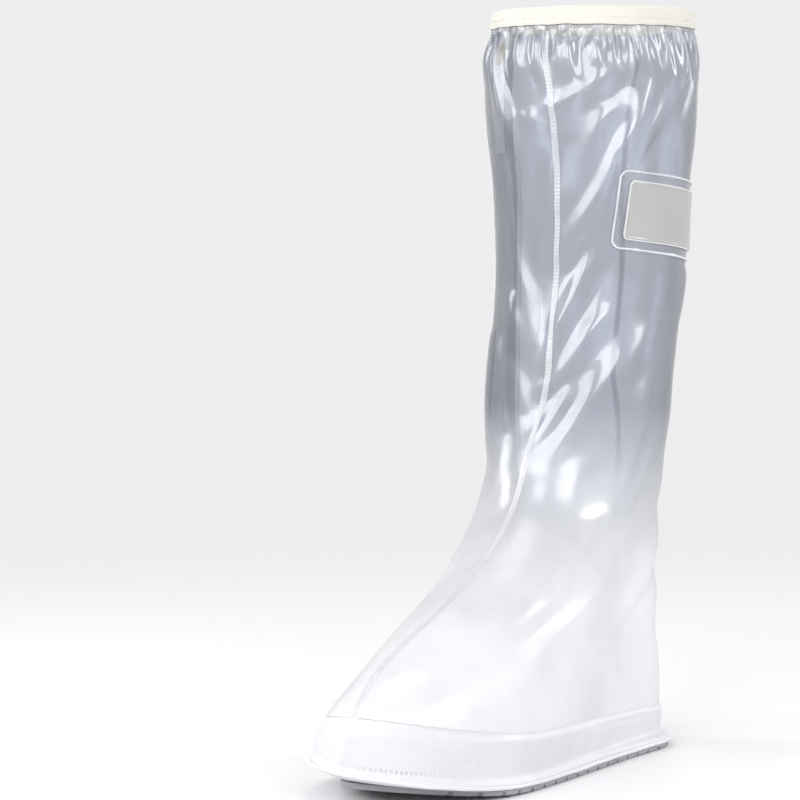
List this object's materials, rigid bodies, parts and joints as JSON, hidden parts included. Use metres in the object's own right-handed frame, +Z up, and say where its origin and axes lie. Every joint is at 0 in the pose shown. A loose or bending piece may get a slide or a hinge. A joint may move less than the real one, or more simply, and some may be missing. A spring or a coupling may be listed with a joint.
{
  "type": "waterproof boot cover",
  "caption": "Tall clear film overshoe with a ribbed sole, embossed foot rand, gathered elastic top, side zip with inner flap and a blank welded patch, worn over a shoe to keep water off.",
  "frame": {"origin": "on the ground under the middle of the boot's bounding box", "axes": "+Z up the leg, -Y towards the toe, +X towards the outer side of this left boot, the zip at -X"},
  "size_m": [0.1238, 0.3024, 0.3951],
  "materials": {
    "film": "soft clear vinyl film, slightly milky and glossy",
    "weld": "welded film, whiter and glossy",
    "white_vinyl": "embossed white vinyl",
    "tread": "matt moulded sole",
    "elastic": "woven elastic tape, ivory",
    "zip_tape": "pale woven zip tape",
    "zip_coil": "nylon coil",
    "zip_metal": "worn brass plate",
    "plate": "plain grey vinyl plate"
  },
  "bodies": {
    "root": {"outsole": "tread", "welt": "white_vinyl", "rand": "white_vinyl", "toe_strip": "white_vinyl", "panel_outer": "film", "panel_inner": "film", "seam_front": "weld", "seam_back": "weld", "top_band": "elastic", "zip_tape_front": "zip_tape", "zip_tape_back": "zip_tape", "zip_teeth": "zip_coil", "zip_slider": "zip_metal", "zip_pull": "zip_metal", "storm_flap": "film", "patch_pad": "weld", "patch_plate": "plate"}
  },
  "joints": []
}
